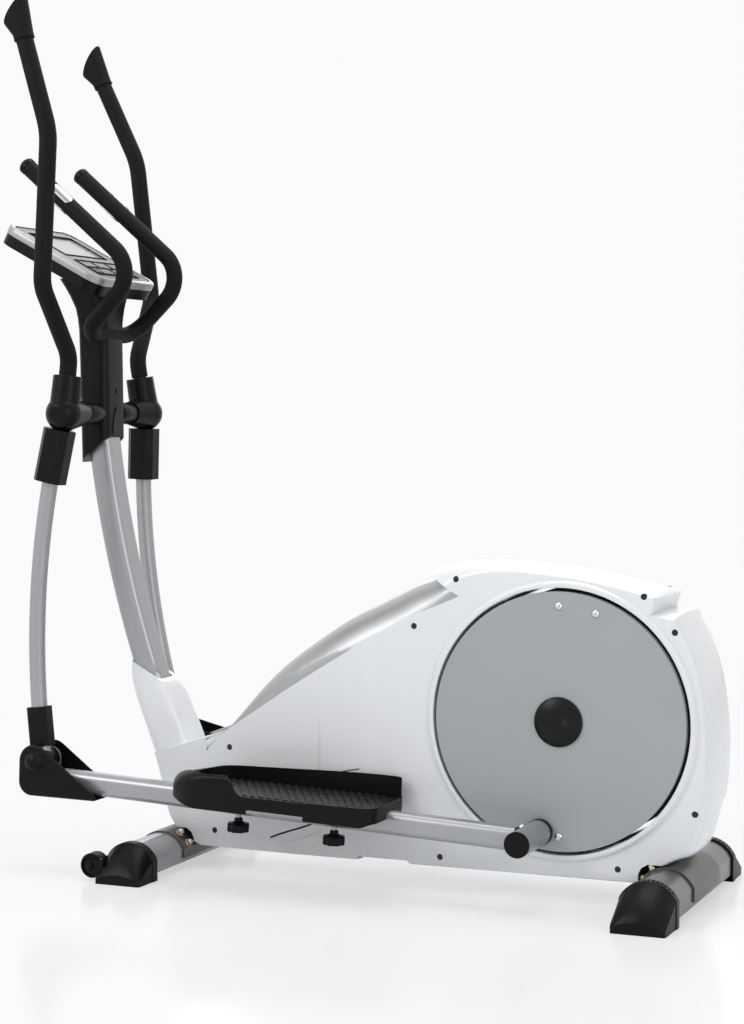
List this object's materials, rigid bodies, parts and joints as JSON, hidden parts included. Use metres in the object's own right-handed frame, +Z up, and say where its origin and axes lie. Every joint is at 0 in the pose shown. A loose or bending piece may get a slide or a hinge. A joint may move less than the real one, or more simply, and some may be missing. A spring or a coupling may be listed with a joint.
{
  "type": "elliptical trainer",
  "caption": "Rear-crank elliptical trainer: swinging arms drive long pedal arms on a crank in a white housing, with fixed grips and a console on a curved mast.",
  "frame": {"origin": "on the floor under the middle of the whole machine's box", "axes": "+X to the rear (crank end), +Y to the user's right, +Z up"},
  "size_m": [1.4767, 0.58, 1.7052],
  "materials": {
    "frame_steel": "satin black powder coat",
    "silver_paint": "silver metallic paint",
    "white_plastic": "glossy white moulding",
    "silver_plastic": "silver-grey moulding",
    "black_plastic": "fine-grained black",
    "disc_plastic": "metallic grey moulding",
    "grip_foam": "matt foam sleeve",
    "bright_steel": "zinc-plated",
    "sensor_chrome": "polished",
    "belt_rubber": "ribbed belt",
    "cast_iron": "machined rim",
    "display": "dark display window",
    "key_plastic": "satin grey",
    "arm_paint": "black powder coat"
  },
  "bodies": {
    "frame": {"main_frame": "frame_steel", "mast": "silver_paint", "mast_boot": "white_plastic", "mast_cover": "black_plastic", "left_shell": "white_plastic", "right_shell": "white_plastic", "spine_cover": "silver_plastic", "front_stabilizer": "silver_paint", "rear_stabilizer": "silver_paint", "front_end_caps": "black_plastic", "rear_end_caps": "black_plastic", "saddle_plates": "silver_paint", "frame_bolts": "bright_steel", "shell_screws": "bright_steel", "crank_bearings": "bright_steel", "drive_belt": "belt_rubber", "brake_servo": "black_plastic", "flywheel_axle": "bright_steel", "pivot_shaft": "bright_steel", "handlebar": "arm_paint", "handlebar_caps": "black_plastic", "pulse_sensors": "sensor_chrome", "console_base": "black_plastic", "console_bezel": "silver_plastic", "console_screen": "display"},
    "crank": {"crank_axle": "bright_steel", "crank_arms": "frame_steel", "crank_discs": "disc_plastic", "hub_caps": "black_plastic", "drive_pulley": "black_plastic"},
    "flywheel": {"flywheel": "cast_iron"},
    "brake_arm": {"brake_arm": "frame_steel"},
    "idler": {"idler_pulley": "black_plastic"},
    "left_swing_arm": {"left_lower_arm": "silver_paint", "left_upper_arm": "arm_paint", "left_arm_covers": "black_plastic", "left_grip": "grip_foam"},
    "left_pedal_arm": {"left_pedal_beam": "silver_paint", "left_arm_pins": "bright_steel", "left_joint_boot": "black_plastic", "left_pedal": "black_plastic"},
    "left_transport_roller": {"left_roller": "black_plastic"},
    "left_front_clamp_knob": {"left_front_knob": "black_plastic"},
    "left_rear_clamp_knob": {"left_rear_knob": "black_plastic"},
    "right_swing_arm": {"right_lower_arm": "silver_paint", "right_upper_arm": "arm_paint", "right_arm_covers": "black_plastic", "right_grip": "grip_foam"},
    "right_pedal_arm": {"right_pedal_beam": "silver_paint", "right_arm_pins": "bright_steel", "right_joint_boot": "black_plastic", "right_pedal": "black_plastic"},
    "right_transport_roller": {"right_roller": "black_plastic"},
    "right_front_clamp_knob": {"right_front_knob": "black_plastic"},
    "right_rear_clamp_knob": {"right_rear_knob": "black_plastic"},
    "start_button": {"start_key": "key_plastic"},
    "stop_button": {"stop_key": "key_plastic"},
    "up_button": {"up_key": "key_plastic"},
    "down_button": {"down_key": "key_plastic"},
    "enter_button": {"enter_key": "key_plastic"}
  },
  "joints": [
    {"name": "crank_spin", "type": "hinge", "parent": "frame", "child": "crank", "pos_m": [0.454, 0, 0.336], "axis": [0, 1, 0], "continuous": true},
    {"name": "flywheel_spin", "type": "hinge", "parent": "frame", "child": "flywheel", "pos_m": [0.0535, 0, 0.235], "axis": [0, 1, 0], "continuous": true},
    {"name": "idler_spin", "type": "hinge", "parent": "frame", "child": "idler", "pos_m": [0.16608, 0.035, 0.1881], "axis": [0, 1, 0], "continuous": true},
    {"name": "brake_arm_swing", "type": "hinge", "parent": "frame", "child": "brake_arm", "pos_m": [-0.06937, -0.012, 0.32104], "axis": [0, 1, 0], "range_deg": [0, 5]},
    {"name": "left_arm_swing", "type": "hinge", "parent": "frame", "child": "left_swing_arm", "pos_m": [-0.544, -0.168, 0.9], "axis": [0, -1, 0], "range_deg": [-10.8, 20.6]},
    {"name": "right_arm_swing", "type": "hinge", "parent": "frame", "child": "right_swing_arm", "pos_m": [-0.544, 0.168, 0.9], "axis": [0, -1, 0], "range_deg": [-20.6, 10.8]},
    {"name": "left_pedal_joint", "type": "hinge", "parent": "left_swing_arm", "child": "left_pedal_arm", "pos_m": [-0.58326, -0.186, 0.21713], "axis": [0, -1, 0], "range_deg": [-20.6, 10.8]},
    {"name": "right_pedal_joint", "type": "hinge", "parent": "right_swing_arm", "child": "right_pedal_arm", "pos_m": [-0.46656, 0.186, 0.2204], "axis": [0, -1, 0], "range_deg": [-10.8, 20.6]},
    {"name": "left_roller_spin", "type": "hinge", "parent": "frame", "child": "left_transport_roller", "pos_m": [-0.436, -0.247, 0.03], "axis": [0, 1, 0], "continuous": true},
    {"name": "left_front_knob_turn", "type": "hinge", "parent": "left_pedal_arm", "child": "left_front_clamp_knob", "pos_m": [-0.15769, -0.186, 0.11372], "axis": [-0.0501, 0, -0.9987], "continuous": true},
    {"name": "left_rear_knob_turn", "type": "hinge", "parent": "left_pedal_arm", "child": "left_rear_clamp_knob", "pos_m": [0.04106, -0.186, 0.10375], "axis": [-0.0501, 0, -0.9987], "continuous": true},
    {"name": "right_roller_spin", "type": "hinge", "parent": "frame", "child": "right_transport_roller", "pos_m": [-0.436, 0.247, 0.03], "axis": [0, 1, 0], "continuous": true},
    {"name": "right_front_knob_turn", "type": "hinge", "parent": "right_pedal_arm", "child": "right_front_clamp_knob", "pos_m": [-0.03504, 0.186, 0.29522], "axis": [0.3523, 0, -0.9359], "continuous": true},
    {"name": "right_rear_knob_turn", "type": "hinge", "parent": "right_pedal_arm", "child": "right_rear_clamp_knob", "pos_m": [0.1512, 0.186, 0.36532], "axis": [0.3523, 0, -0.9359], "continuous": true},
    {"name": "start_press", "type": "slide", "parent": "frame", "child": "start_button", "axis": [-0.4695, 0, -0.8829], "range_m": [0, 0.0012], "stiffness_N_per_m": 400, "springref_m": -0.0005},
    {"name": "stop_press", "type": "slide", "parent": "frame", "child": "stop_button", "axis": [-0.4695, 0, -0.8829], "range_m": [0, 0.0012], "stiffness_N_per_m": 400, "springref_m": -0.0005},
    {"name": "up_press", "type": "slide", "parent": "frame", "child": "up_button", "axis": [-0.4695, 0, -0.8829], "range_m": [0, 0.0012], "stiffness_N_per_m": 400, "springref_m": -0.0005},
    {"name": "down_press", "type": "slide", "parent": "frame", "child": "down_button", "axis": [-0.4695, 0, -0.8829], "range_m": [0, 0.0012], "stiffness_N_per_m": 400, "springref_m": -0.0005},
    {"name": "enter_press", "type": "slide", "parent": "frame", "child": "enter_button", "axis": [-0.4695, 0, -0.8829], "range_m": [0, 0.0012], "stiffness_N_per_m": 400, "springref_m": -0.0005}
  ],
  "couplings": [
    {"joint": "flywheel_spin", "follows": "crank_spin", "ratio": 8.2353},
    {"joint": "idler_spin", "follows": "crank_spin", "ratio": -7},
    {"joint": "right_arm_swing", "follows": "left_arm_swing", "ratio": -1},
    {"joint": "left_pedal_joint", "follows": "left_arm_swing", "ratio": -1},
    {"joint": "right_pedal_joint", "follows": "left_arm_swing", "ratio": 1}
  ]
}
